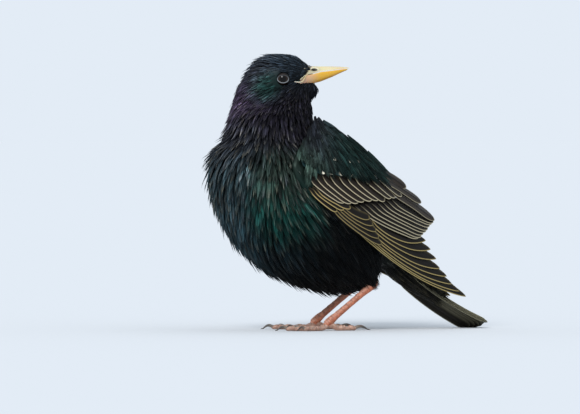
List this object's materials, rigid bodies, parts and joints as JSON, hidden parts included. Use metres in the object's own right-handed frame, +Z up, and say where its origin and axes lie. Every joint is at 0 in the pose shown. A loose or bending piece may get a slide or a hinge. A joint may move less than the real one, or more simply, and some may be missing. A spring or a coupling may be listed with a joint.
{
  "type": "common starling",
  "caption": "Life-size still model of a perching songbird in glossy dark plumage, standing on the floor with its head turned back over one shoulder.",
  "frame": {"origin": "on the floor under the middle of the bird's box", "axes": "-X is the way the body faces, -Y its left side, +Z up"},
  "size_m": [0.1622, 0.0706, 0.1466],
  "materials": {
    "plumage": "glossy black body feathers with a green and purple sheen and worn buff tips",
    "wing_feathers": "dark brown flight feathers with narrow buff edges",
    "bill": "smooth yellow horn, paler pink at its base",
    "eye": "wet dark brown eye",
    "leg_skin": "scaly orange-pink skin",
    "claw": "dark horn"
  },
  "bodies": {
    "root": {"torso": "plumage", "neck": "plumage", "head": "plumage", "bill_upper": "bill", "bill_lower": "bill", "eye_left": "eye", "eye_right": "eye", "wing_left": "wing_feathers", "wing_right": "wing_feathers", "tail": "wing_feathers", "thigh_left": "plumage", "thigh_right": "plumage", "shank_left": "leg_skin", "shank_right": "leg_skin", "foot_left": "leg_skin", "foot_right": "leg_skin", "claw_left_inner": "claw", "claw_left_middle": "claw", "claw_left_outer": "claw", "claw_left_hind": "claw", "claw_right_inner": "claw", "claw_right_middle": "claw", "claw_right_outer": "claw", "claw_right_hind": "claw"}
  },
  "joints": []
}
